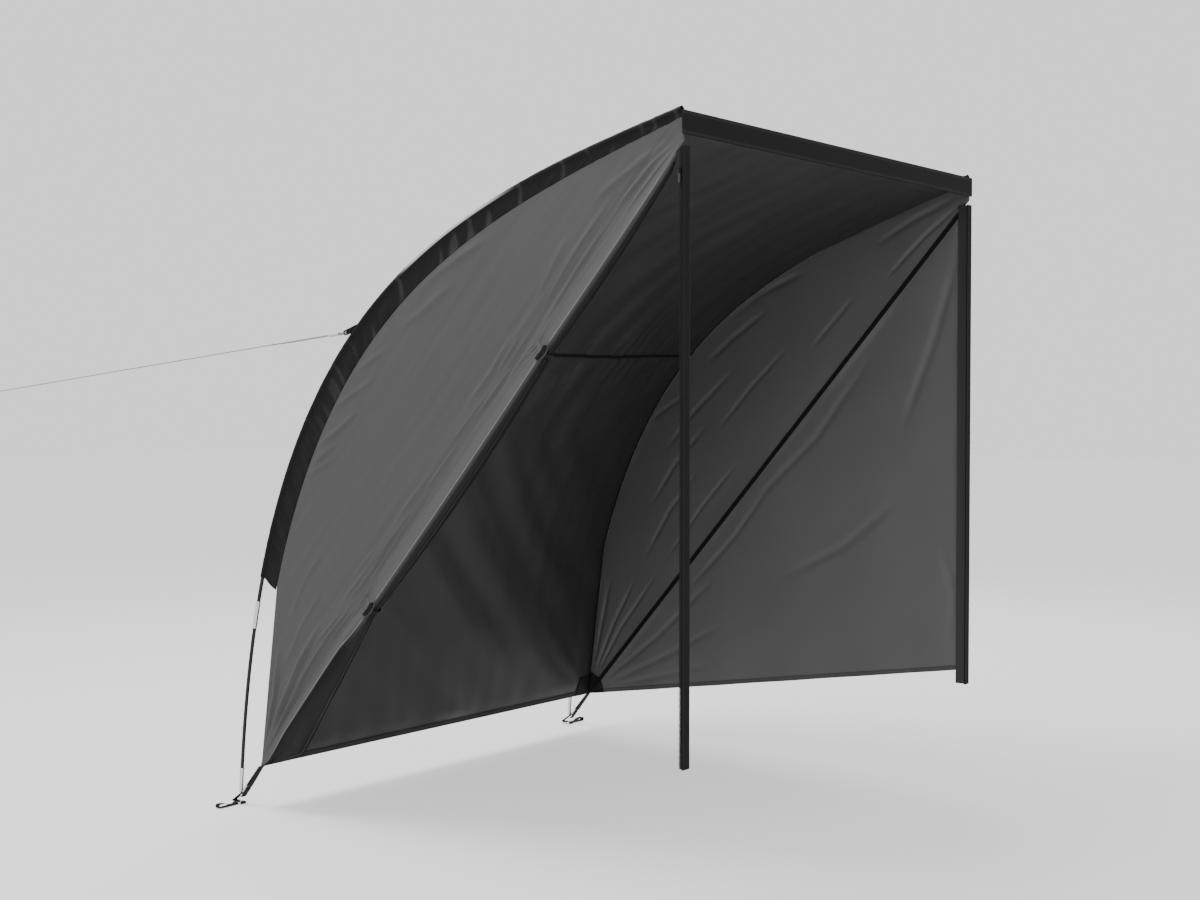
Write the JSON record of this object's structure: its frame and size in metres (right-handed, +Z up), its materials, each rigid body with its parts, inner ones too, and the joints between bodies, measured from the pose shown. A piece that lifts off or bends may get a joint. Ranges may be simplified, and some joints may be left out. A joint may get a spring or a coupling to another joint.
{
  "type": "bicycle storage tent",
  "caption": "Lean-to bicycle storage tent: grey cloth on two hooped poles against a wall, near side door rolled up along its slanted seam, far door closed",
  "frame": {"origin": "middle of the header band's face on the wall, where the tent hangs", "axes": "+X points into the wall that carries the tent, so the tent reaches out along -X; +Y runs along the wall from the near, open side to the far, closed side; +Z up. The ground is at Z = -1.942 m"},
  "size_m": [2.9848, 1.8296, 1.9828],
  "materials": {
    "grey_cloth": "coated polyester, plain weave, soft sheen",
    "dark_cloth": "dark coated side of the same polyester",
    "sleeve_cloth": "black polyester, faint sheen",
    "webbing": "black woven webbing",
    "fibreglass": "black glass fibre rod",
    "steel": "zinc-plated steel",
    "black_plastic": "moulded black nylon",
    "grey_plastic": "moulded light grey nylon",
    "cord": "light grey braided polyester cord"
  },
  "bodies": {
    "tent": {"outer_wall_panel": "dark_cloth", "roof_panel": "dark_cloth", "cross_seam_tape": "sleeve_cloth", "near_side_panel": "grey_cloth", "far_side_panel": "grey_cloth", "near_door_roll": "grey_cloth", "near_pole_sleeve": "sleeve_cloth", "far_pole_sleeve": "sleeve_cloth", "header_band": "webbing", "near_wall_strip": "webbing", "far_wall_strip": "webbing", "near_pole_section_1": "fibreglass", "near_pole_section_2": "fibreglass", "near_pole_section_3": "fibreglass", "near_pole_section_4": "fibreglass", "near_pole_section_5": "fibreglass", "far_pole_section_1": "fibreglass", "far_pole_section_2": "fibreglass", "far_pole_section_3": "fibreglass", "far_pole_section_4": "fibreglass", "far_pole_section_5": "fibreglass", "near_ferrule_1": "steel", "near_ferrule_2": "steel", "near_ferrule_3": "steel", "near_ferrule_4": "steel", "far_ferrule_1": "steel", "far_ferrule_2": "steel", "far_ferrule_3": "steel", "far_ferrule_4": "steel", "near_end_ferrule": "steel", "far_end_ferrule": "steel", "near_pole_tip": "black_plastic", "far_pole_tip": "black_plastic", "near_foot_strap": "webbing", "far_foot_strap": "webbing", "near_corner_strap": "webbing", "far_corner_strap": "webbing", "near_strap_buckle": "grey_plastic", "far_strap_buckle": "grey_plastic", "near_foot_ring": "steel", "far_foot_ring": "steel", "lower_tie": "grey_cloth", "upper_tie": "grey_cloth", "guy_loop": "webbing", "guy_line": "cord"},
    "far_door": {"far_door_panel": "grey_cloth"},
    "near_zip": {"near_zip_slider": "black_plastic"},
    "near_pull": {"near_zip_pull": "steel"},
    "far_zip": {"far_zip_slider": "black_plastic"},
    "far_pull": {"far_zip_pull": "steel"},
    "lower_toggle_body": {"lower_toggle": "black_plastic"},
    "upper_toggle_body": {"upper_toggle": "black_plastic"},
    "guy_slider_body": {"guy_slider": "grey_plastic"},
    "near_peg": {"near_peg_loop": "webbing"},
    "far_peg": {"far_peg_loop": "webbing"}
  },
  "joints": [
    {"name": "far_door_swing", "type": "hinge", "parent": "tent", "child": "far_door", "pos_m": [-1.565, 0.8265, -1.813], "axis": [0.6612, 0, 0.7502], "range_deg": [0, 120]},
    {"name": "near_zip_slide", "type": "slide", "parent": "tent", "child": "near_zip", "axis": [0, 0, -1], "range_m": [0, 1.42]},
    {"name": "near_pull_swing", "type": "hinge", "parent": "near_zip", "child": "near_pull", "pos_m": [-0.0154, -0.83045, -0.11705], "axis": [-1, 0, 0], "range_deg": [0, 120]},
    {"name": "far_zip_slide", "type": "slide", "parent": "tent", "child": "far_zip", "axis": [0, 0, 1], "range_m": [0, 1.42]},
    {"name": "far_pull_swing", "type": "hinge", "parent": "far_zip", "child": "far_pull", "pos_m": [-0.0154, 0.83045, -1.53705], "axis": [1, 0, 0], "range_deg": [0, 120]},
    {"name": "lower_toggle_turn", "type": "hinge", "parent": "tent", "child": "lower_toggle_body", "pos_m": [-1.08355, -0.8503, -1.29359], "axis": [0, -1, 0], "range_deg": [-60, 60]},
    {"name": "upper_toggle_turn", "type": "hinge", "parent": "tent", "child": "upper_toggle_body", "pos_m": [-0.44288, -0.8503, -0.5666], "axis": [0, -1, 0], "range_deg": [-60, 60]},
    {"name": "guy_slider_slide", "type": "slide", "parent": "tent", "child": "guy_slider_body", "axis": [-0.9954, 0, -0.0958], "range_m": [0, 0.15]},
    {"name": "near_peg_loop_lift", "type": "hinge", "parent": "tent", "child": "near_peg", "pos_m": [-1.665, -0.84, -1.9373], "axis": [-1, 0, 0], "range_deg": [0, 70]},
    {"name": "far_peg_loop_lift", "type": "hinge", "parent": "tent", "child": "far_peg", "pos_m": [-1.665, 0.84, -1.9373], "axis": [1, 0, 0], "range_deg": [0, 70]}
  ]
}
